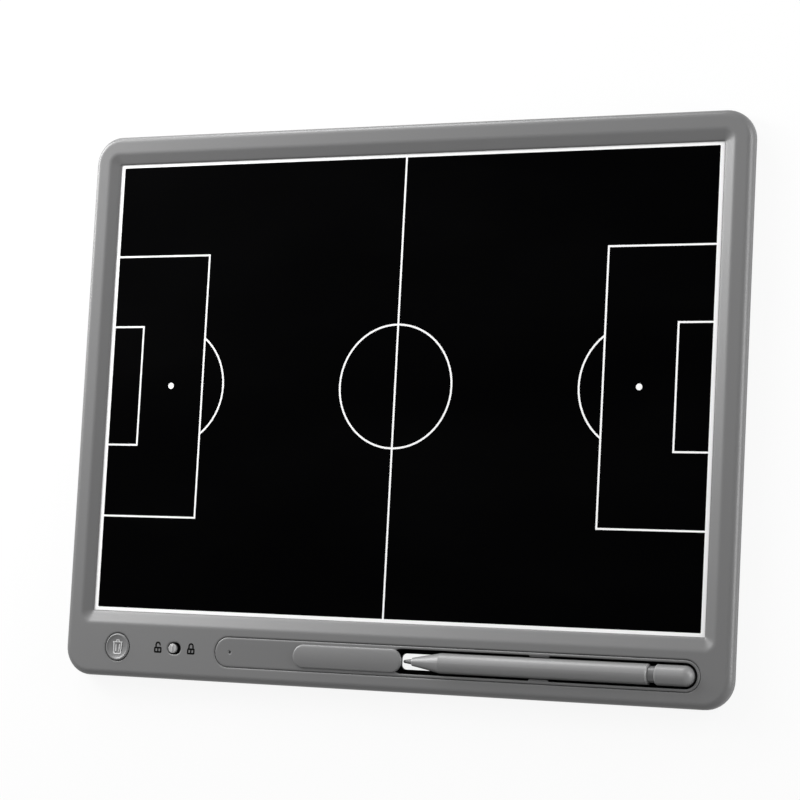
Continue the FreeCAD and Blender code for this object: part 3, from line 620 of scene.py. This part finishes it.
@dataclass(frozen=True)
class FibreSheet:
    """Dull sheet or foam with a fibrous, slightly uneven face."""

    name: str
    colour: Colour
    base_tone: float = 0.85
    fibre: float = 0.5 * MM
    fibre_stretch: Triple = (0.3, 1.0, 1.0)
    fibre_depth: float = 0.03 * MM
    fibre_tone: float = 0.2
    fibre_roughness: float = 0.15
    cloud: float = 12.0 * MM
    cloud_tone: float = 0.15
    roughness: float = 0.75

    def material(self) -> bpy.types.Material:
        """Builds the finish.

        Returns:
            The finished material.
        """
        shader = Shader(self.name)
        place = shader.place()
        fibres = shader.noise(shader.stretched(place, self.fibre_stretch), self.fibre, detail=4.0)
        cloud = shader.noise(place, self.cloud, detail=3.0)
        tone = self.base_tone + fibres * self.fibre_tone + cloud.swing(self.cloud_tone)
        roughness = self.roughness + fibres.swing(self.fibre_roughness)
        return shader.surface(shader.toned(self.colour, tone), roughness, fibres, self.fibre_depth)


def paint(material: bpy.types.Material, *nodes: str) -> None:
    """Gives modelled nodes their finish.

    Args:
        material: the finish.
        nodes: names of the nodes that wear it.
    """
    for name in nodes:
        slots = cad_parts[name].data.materials
        slots.clear()
        slots.append(material)
        LOG.info("%s dressed in %s", name, material.name)


def arc(centre: Point, radius: float, start: float, end: float, steps: int) -> list[Point]:
    """Points along an arc.

    Args:
        centre: middle of the arc.
        radius: its radius.
        start: first angle in degrees.
        end: last angle in degrees.
        steps: number of straight steps.

    Returns:
        The points, both ends included.
    """
    angles = [math.radians(start + (end - start) * step / steps) for step in range(steps + 1)]
    return [(centre[0] + radius * math.cos(a), centre[1] + radius * math.sin(a)) for a in angles]


def rounded_loop(width: float, height: float, radius: float, centre: Point) -> list[Point]:
    """Corner points of a rounded rectangle, counter-clockwise.

    Args:
        width: size along X.
        height: size along Y.
        radius: corner radius.
        centre: middle of the rectangle.

    Returns:
        The points, with no repeat at the end.
    """
    loop: list[Point] = []
    for side_x, side_y, start in ((1, -1, -90), (1, 1, 0), (-1, 1, 90), (-1, -1, 180)):
        corner = (centre[0] + side_x * (width / 2 - radius), centre[1] + side_y * (height / 2 - radius))
        loop += arc(corner, radius, start, start + 90, CORNER_STEPS)
    return loop


@dataclass
class RaisedLine:
    """Line of even width that stands on a surface, as a closed strip."""

    path: Sequence[Point]
    width: float
    height: float
    closed: bool = False
    sink: float = 0.03 * MM
    least_mitre: float = 0.5

    def offsets(self) -> list[tuple[Point, Point]]:
        """Finds both edges of the line.

        Returns:
            A left and a right point for each point of the path.
        """
        count = len(self.path)
        pairs = []
        for index, (x, y) in enumerate(self.path):
            before = self.path[index - 1] if index or self.closed else None
            after = self.path[(index + 1) % count] if index + 1 < count or self.closed else None
            runs = []
            if before:
                runs.append(Vector((x - before[0], y - before[1])).normalized())
            if after:
                runs.append(Vector((after[0] - x, after[1] - y)).normalized())
            along = sum(runs, Vector((0.0, 0.0))).normalized()
            side = Vector((-along.y, along.x))
            reach = self.width / 2 / max(self.least_mitre, along.dot(runs[0]))
            left = (x + side.x * reach, y + side.y * reach)
            right = (x - side.x * reach, y - side.y * reach)
            pairs.append((left, right))
        return pairs

    def add_to(self, mesh: bmesh.types.BMesh, level: Level) -> None:
        """Adds the strip to a mesh.

        Args:
            mesh: mesh under construction.
            level: height of the surface at a place.
        """
        rings = []
        for left, right in self.offsets():
            low = [level(*left) - self.sink, level(*right) - self.sink]
            high = [level(*left) + self.height, level(*right) + self.height]
            corners = [(*left, low[0]), (*right, low[1]), (*right, high[1]), (*left, high[0])]
            rings.append([mesh.verts.new(corner) for corner in corners])
        spans = list(zip(rings, rings[1:]))
        if self.closed:
            spans.append((rings[-1], rings[0]))
        for here, there in spans:
            for side in range(len(here)):
                following = (side + 1) % len(here)
                mesh.faces.new((here[side], here[following], there[following], there[side]))
        if not self.closed:
            mesh.faces.new(rings[0][::-1])
            mesh.faces.new(rings[-1])


def raise_sign(name: str, strips: Sequence[RaisedLine], level: Level,
               rounding: float) -> bpy.types.Object:
    """Makes one sign from raised lines.

    Args:
        name: name of the piece.
        strips: its lines.
        level: height of the surface that carries it.
        rounding: radius of the lines' edges.

    Returns:
        The piece, not yet dressed.
    """
    shape = bmesh.new()
    for strip in strips:
        strip.add_to(shape, level)
    bmesh.ops.recalc_face_normals(shape, faces=shape.faces)
    mesh = bpy.data.meshes.new(name)
    shape.to_mesh(mesh)
    shape.free()
    piece = bpy.data.objects.new(name, mesh)
    bpy.context.scene.collection.objects.link(piece)
    bevel = piece.modifiers.new("rounded edges", "BEVEL")
    bevel.width = rounding
    bevel.segments = BEVEL_SEGMENTS
    bevel.limit_method = "ANGLE"
    bevel.angle_limit = BEVEL_ANGLE
    return piece


@dataclass
class Case:
    """Two moulded halves of the case and the battery door."""

    front: MouldedPlastic = MouldedPlastic(
        "case front grey", (0.112, 0.112, 0.113), roughness=0.42, specular=0.55,
        soft_edge=1.2 * MM, flat_dulling=0.22)
    back: MouldedPlastic = MouldedPlastic(
        "case back grey", (0.11, 0.11, 0.112), roughness=0.56, grain=0.45 * MM, grain_depth=0.02 * MM)

    def dress(self) -> None:
        """Gives the halves and the door their finish."""
        paint(self.front.material(), "front_bezel")
        paint(self.back.material(), "rear_cover", "battery_door")


@dataclass
class WritingSurface:
    """Black film, its printed pitch and what holds it."""

    film: WritingFilm = WritingFilm("black writing film")
    ink: ScreenInk = ScreenInk("white pitch ink", (0.9, 0.9, 0.9))
    tape: FibreSheet = FibreSheet("black foam tape", (0.02, 0.02, 0.021))
    backing: FibreSheet = FibreSheet("black backing sheet", (0.04, 0.04, 0.042), fibre=0.9 * MM)

    def dress(self) -> None:
        """Gives the film, the print, the tape and the backing their finishes."""
        paint(self.film.material(), "writing_panel")
        paint(self.ink.material(), "pitch_markings")
        paint(self.tape.material(), "panel_tape")
        paint(self.backing.material(), "backing_board")


@dataclass
class Padlock:
    """Padlock sign printed on the case: a framed body with a keyhole under a shackle."""

    name: str
    centre: Point
    shackle: Shackle
    body_width: float = 4.15 * MM
    body_height: float = 2.85 * MM
    shackle_width: float = 3.0 * MM
    shackle_height: float = 2.5 * MM
    bow_steps: int = 10
    line: float = 0.8 * MM
    thickness: float = 0.03 * MM
    corner: float = 0.25 * MM
    rounding: float = 0.01 * MM

    def strips(self) -> list[RaisedLine]:
        """Works out the sign's lines.

        Returns:
            Body, keyhole and shackle.
        """
        x, y = self.centre
        half = self.line / 2
        middle = y - (self.shackle_height - half) / 2
        top = middle + self.body_height / 2
        body = rounded_loop(
            self.body_width - self.line, self.body_height - self.line, self.corner, (x, middle))
        reach = (self.shackle_width - self.line) / 2
        spring = top + self.shackle_height - reach - half
        lift = self.shackle.value * self.shackle_height
        bow = [(x - reach, top - half)] + arc((x, spring), reach, 180, 0, self.bow_steps)
        bow.append((x + reach, top - half + lift))
        key = [(x, middle - self.body_height / 4), (x, middle + self.body_height / 4)]
        paths = ((body, True), (key, False), (bow, False))
        return [RaisedLine(path, self.line, self.thickness, closed) for path, closed in paths]

    def build(self, level: float, ink: bpy.types.Material) -> None:
        """Makes the sign on the case.

        Args:
            level: height of the case's face.
            ink: finish of the print.
        """
        piece = raise_sign(self.name, self.strips(), lambda x, y: level, self.rounding)
        piece.data.materials.append(ink)
        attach(piece, "case")
        LOG.info("%s printed on the case", self.name)


@dataclass
class BinSign:
    """Bin sign moulded into the dish of the erase button."""

    name: str = "bin_sign"
    width: float = 5.3 * MM
    height: float = 7.0 * MM
    foot_width: float = 3.8 * MM
    body_share: float = 0.80
    handle_width: float = 1.9 * MM
    handle_taper: float = 0.7
    flute_spread: float = 0.55
    flute_taper: float = 0.8
    flute_foot_lines: float = 2.2
    flute_head_lines: float = 2.0
    line: float = 0.5 * MM
    rise: float = 0.16 * MM
    corner: float = 0.7 * MM
    rounding: float = 0.1 * MM

    def strips(self, centre: Point) -> list[RaisedLine]:
        """Works out the sign's lines.

        Args:
            centre: middle of the button.

        Returns:
            Body, lid, handle and flutes.
        """
        x, y = centre
        foot = y - self.height / 2 + self.line / 2
        lid = foot + self.height * self.body_share
        top = y + self.height / 2 - self.line / 2
        half_top = self.width / 2 - self.line
        half_foot = self.foot_width / 2
        turn = foot + self.corner
        body = [(x - half_top, lid), (x - half_foot, turn)]
        body += arc((x - half_foot + self.corner, turn), self.corner, 180, 270, CORNER_STEPS)
        body += arc((x + half_foot - self.corner, turn), self.corner, 270, 360, CORNER_STEPS)
        body.append((x + half_top, lid))
        cover = [(x - self.width / 2, lid), (x + self.width / 2, lid)]
        grip = self.handle_width / 2
        narrow = grip * self.handle_taper
        handle = [(x - grip, lid), (x - narrow, top), (x + narrow, top), (x + grip, lid)]
        flute_low = foot + self.flute_foot_lines * self.line
        flute_high = lid - self.flute_head_lines * self.line
        flutes = []
        for side in (-1, 1):
            spread = side * self.flute_spread * half_foot
            flutes.append([(x + spread * self.flute_taper, flute_low), (x + spread, flute_high)])
        return [RaisedLine(path, self.line, self.rise) for path in (body, cover, handle, *flutes)]

    def build(self, centre: Point, level: Level, finish: bpy.types.Material) -> None:
        """Makes the sign on the button.

        Args:
            centre: middle of the button.
            level: height of the dish at a place.
            finish: finish of the moulded lines.
        """
        piece = raise_sign(self.name, self.strips(centre), level, self.rounding)
        piece.data.materials.append(finish)
        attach(piece, "erase_button")
        LOG.info("%s moulded on the button", self.name)


@dataclass
class ControlRow:
    """Erase button and lock slider with their signs."""

    button: MouldedPlastic = MouldedPlastic(
        "button grey", (0.12, 0.12, 0.121), roughness=0.45, specular=0.6,
        edge_wear_and_highlight=0.25, edge_width=0.5 * MM, soft_edge=0.6 * MM)
    # painted shade: the carrier under the knob, below 7.3 mm, is painted dull black for the shade down
    # the slot
    knob: MouldedPlastic = MouldedPlastic(
        "slider knob grey", (0.34, 0.34, 0.342), roughness=0.3, specular=0.7,
        edge_wear_and_highlight=0.3, soft_edge=0.8 * MM, painted_shade_level=7.3 * MM)
    raised: MouldedPlastic = MouldedPlastic(
        "raised sign grey", (0.50, 0.50, 0.502), roughness=0.38, edge_wear_and_highlight=0.2)
    ink: ScreenInk = ScreenInk("dark sign ink", (0.002, 0.002, 0.002), specular=0.05)
    signs: tuple[tuple[str, float, Shackle], ...] = (
        ("padlock_open_sign", -8.9 * MM, Shackle.OPEN),
        ("padlock_closed_sign", 9.35 * MM, Shackle.CLOSED))
    slider_travel: float = 2.1 * MM
    dish_radius: float = 24.07 * MM
    dish_drop: float = 0.9 * MM

    def dish_level(self) -> tuple[Point, Level]:
        """Reads where the button's dish lies.

        Returns:
            Its middle and its height at a place.
        """
        low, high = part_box("erase_button")
        centre = ((low.x + high.x) / 2, (low.y + high.y) / 2)
        bottom = high.z - self.dish_drop

        def level(x: float, y: float) -> float:
            """Height of the dish at a place."""
            return bottom + ((x - centre[0]) ** 2 + (y - centre[1]) ** 2) / (2 * self.dish_radius)

        return centre, level

    def dress(self) -> None:
        """Gives the controls their finishes."""
        paint(self.button.material(), "erase_button")
        paint(self.knob.material(), "lock_slider")

    def build(self) -> None:
        """Makes the signs beside and on the controls."""
        centre, level = self.dish_level()
        BinSign().build(centre, level, self.raised.material())
        low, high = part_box("lock_slider")
        slot_x = (low.x + high.x + self.slider_travel) / 2
        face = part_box("front_bezel")[1].z
        ink = self.ink.material()
        for name, shift, shackle in self.signs:
            Padlock(name, (slot_x + shift, (low.y + high.y) / 2), shackle).build(face, ink)


@dataclass
class PenRest:
    """Tray let into the case and the pad on it."""

    # painted shade: the trough below 8.4 mm is painted dull black; painted highlight: the tray's edges
    # are lightened along its rim
    tray: MouldedPlastic = MouldedPlastic(
        "tray grey", (0.098, 0.098, 0.099), roughness=0.42, specular=0.55, edge_wear_and_highlight=0.5,
        edge_width=1.2 * MM, soft_edge=1.4 * MM, flat_dulling=0.22, painted_shade_level=8.4 * MM)
    # painted highlight: the pad's edges are lightened along their rounding
    pad: MouldedPlastic = MouldedPlastic(
        "pad grey", (0.119, 0.119, 0.12), roughness=0.4, specular=0.55, edge_wear_and_highlight=0.5,
        edge_width=1.8 * MM, soft_edge=1.2 * MM, flat_dulling=0.22)

    def dress(self) -> None:
        """Gives the tray and the pad their finishes."""
        paint(self.tray.material(), "pen_tray")
        paint(self.pad.material(), "tip_guard")


@dataclass
class Pen:
    """Pen in the tray: barrel, nib, neck ring and end cap."""

    # painted highlight: the light rims at the chamfers of the barrel and the end cap are painted by
    # lightening the edges
    barrel: MouldedPlastic = MouldedPlastic(
        "pen grey", (0.17, 0.17, 0.171), roughness=0.42, specular=0.6, grain=0.2 * MM,
        grain_depth=0.003 * MM, edge_wear_and_highlight=0.9, edge_width=1.0 * MM)
    ring: MouldedPlastic = MouldedPlastic("pen ring grey", (0.115, 0.115, 0.116), roughness=0.36)
    nib: MouldedPlastic = MouldedPlastic("pen nib grey", (0.07, 0.07, 0.071), roughness=0.35)

    def dress(self) -> None:
        """Gives the pen's pieces their finishes."""
        paint(self.barrel.material(), "pen_barrel", "pen_end_cap")
        paint(self.ring.material(), "pen_neck_ring")
        paint(self.nib.material(), "pen_nib")


@dataclass
class Electronics:
    """Circuit board with its switches, chip, socket and flat cable."""

    laminate: CircuitLaminate = CircuitLaminate("green circuit laminate")
    cable: FlexFilm = FlexFilm("amber flat cable")
    housing: MouldedPlastic = MouldedPlastic(
        "black switch housing", (0.022, 0.022, 0.023), grain=0.15 * MM)
    actuator: MouldedPlastic = MouldedPlastic(
        "white switch actuator", (0.62, 0.62, 0.60), grain=0.15 * MM)
    socket: MouldedPlastic = MouldedPlastic(
        "ivory cable socket", (0.66, 0.60, 0.47), grain=0.2 * MM)
    chip: FibreSheet = FibreSheet(
        "black chip compound", (0.018, 0.018, 0.019), fibre=0.2 * MM, roughness=0.6)

    def dress(self) -> None:
        """Gives the electronics their finishes."""
        paint(self.laminate.material(), "circuit_board")
        paint(self.cable.material(), "panel_flex")
        paint(self.housing.material(), "erase_switch", "lock_switch")
        paint(self.actuator.material(), "erase_plunger", "lock_lever")
        paint(self.socket.material(), "flex_connector")
        paint(self.chip.material(), "controller_chip")


@dataclass
class Battery:
    """Coin cell and its two contacts."""

    leaf: PlatedSteel = PlatedSteel(
        "nickel contact leaf", (0.66, 0.64, 0.58), (0.45, 0.42, 0.36), lay=Lay.ALONG_X, roughness=0.26)

    def dress(self) -> None:
        """Gives the cell and the contacts their finishes."""
        low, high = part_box("coin_cell")
        centre = (low + high) / 2
        paint(TurnedCan("coin cell can", (centre.x, centre.y)).material(), "coin_cell")
        paint(self.leaf.material(), "contact_positive", "contact_negative")


@dataclass
class Fixings:
    """Screws and rubber feet."""

    screw: PlatedSteel = PlatedSteel("zinc screw steel", (0.50, 0.50, 0.50), (0.33, 0.32, 0.30))
    foot: Rubber = Rubber("black foot rubber", (0.018, 0.018, 0.019))
    feet: tuple[str, ...] = ("foot_top_left", "foot_top_right", "foot_bottom_left", "foot_bottom_right")

    def dress(self) -> None:
        """Gives the screws and the feet their finishes."""
        paint(self.screw.material(), "case_screws", "board_screws", "battery_door_screw")
        paint(self.foot.material(), *self.feet)


@dataclass(frozen=True)
class SoftBox:
    """Square soft lamp aimed at the middle of the board."""

    name: str
    place: Triple
    side: float
    power: float

    def build(self) -> None:
        """Puts the lamp in the scene."""
        lamp = bpy.data.lights.new(self.name, "AREA")
        lamp.shape = "SQUARE"
        lamp.size = self.side
        lamp.energy = self.power
        holder = bpy.data.objects.new(self.name, lamp)
        holder.location = self.place
        holder.rotation_euler = (-Vector(self.place)).to_track_quat("-Z", "Y").to_euler()
        bpy.context.scene.collection.objects.link(holder)


@dataclass
class Studio:
    """Pale floor, soft lamps and the camera at the photograph's angle."""

    camera_place: Triple = (0.55684, -0.11673, 1.11787)
    camera_aim: Triple = (0.00291, 0.00241, 0.0064)
    camera_up: Triple = (-0.00417, 0.99407, 0.10864)
    lens: float = 121.452
    sensor: float = 36.0
    floor_size: float = 8.0
    floor_colour: Colour = (0.80, 0.80, 0.80)
    floor_tone: float = 0.98
    floor_blot: float = 0.3
    floor_mottle: float = 0.04
    floor_glow: float = 0.9
    fill: Colour = (0.34, 0.34, 0.34)
    lamps: tuple[SoftBox, ...] = (
        SoftBox("key softbox", (-0.74, 0.36, 0.74), 0.35, 2.6),
        SoftBox("left softbox", (-0.62, 0.4, 0.33), 0.25, 3.6),
        SoftBox("low left softbox", (-0.68, 0.26, 0.17), 0.3, 3.4),
        SoftBox("top softbox", (-0.3, 0.68, 0.18), 0.3, 3.8),
        SoftBox("right softbox", (0.7, 0.0, 0.08), 0.3, 2.6),
        SoftBox("top right softbox", (0.62, 0.3, 0.25), 0.3, 1.8),
    )

    def seen(self, shader: Shader) -> Value:
        """Mask of the rays that see a white background.

        Args:
            shader: the floor's or the world's shader.

        Returns:
            1 for the camera's rays and for mirrored and passed-through ones, else 0.
        """
        camera, glossy, passed = [
            shader.node("ShaderNodeLightPath", output=name)
            for name in ("Is Camera Ray", "Is Glossy Ray", "Is Transmission Ray")]
        return camera.larger(glossy).larger(passed)

    def build_floor(self) -> None:
        """Lays the floor, which glows white for the camera and keeps the board's shadow."""
        half = self.floor_size / 2
        shape = bmesh.new()
        corners = ((-half, -half), (half, -half), (half, half), (-half, half))
        shape.faces.new([shape.verts.new((x, y, 0.0)) for x, y in corners])
        mesh = bpy.data.meshes.new("studio_floor")
        shape.to_mesh(mesh)
        shape.free()
        floor = bpy.data.objects.new("studio_floor", mesh)
        bpy.context.scene.collection.objects.link(floor)
        shader = Shader("pale studio floor")
        blots = shader.noise(shader.place(), self.floor_blot, detail=2.0)
        colour = shader.toned(self.floor_colour, self.floor_tone + blots * self.floor_mottle)
        matt = shader.node("ShaderNodeBsdfDiffuse", sockets={"Color": colour})
        glow = shader.node("ShaderNodeEmission", sockets={"Color": (*WHITE, 1.0), "Strength": 1.0})
        share = self.seen(shader) * self.floor_glow
        mix = shader.node("ShaderNodeMixShader", sockets={0: share, 1: matt, 2: glow})
        mesh.materials.append(shader.closed(mix))

    def build_world(self) -> None:
        """Sets the even fill light and the white seen behind the floor."""
        world = bpy.data.worlds.new("studio fill")
        bpy.context.scene.world = world
        shader = Shader("studio fill", world)
        colour = shader.mixed(self.fill, WHITE, self.seen(shader))
        back = shader.node("ShaderNodeBackground", sockets={"Color": colour, "Strength": 1.0})
        shader.node("ShaderNodeOutputWorld", sockets={"Surface": back})

    def build_camera(self) -> None:
        """Places the camera by its seat, its aim and its upward direction."""
        data = bpy.data.cameras.new("photo camera")
        data.sensor_width = self.sensor
        data.lens = self.lens
        camera = bpy.data.objects.new("photo camera", data)
        bpy.context.scene.collection.objects.link(camera)
        back = (Vector(self.camera_place) - Vector(self.camera_aim)).normalized()
        right = Vector(self.camera_up).cross(back).normalized()
        turn = Matrix((right, back.cross(right), back)).transposed()
        camera.matrix_world = Matrix.Translation(self.camera_place) @ turn.to_4x4()
        bpy.context.scene.camera = camera

    def build(self) -> None:
        """Makes the whole studio."""
        self.build_floor()
        self.build_world()
        for lamp in self.lamps:
            lamp.build()
        self.build_camera()
        bpy.context.scene.view_settings.view_transform = "Standard"


def main() -> None:
    """Dresses the board, adds its signs and sets up the studio."""
    logging.basicConfig(level=logging.INFO, format="%(message)s")
    controls = ControlRow()
    for part in (Case(), WritingSurface(), controls, PenRest(), Pen(), Electronics(), Battery(),
                 Fixings()):
        part.dress()
    controls.build()
    Studio().build()


if __name__ == "__main__":
    main()
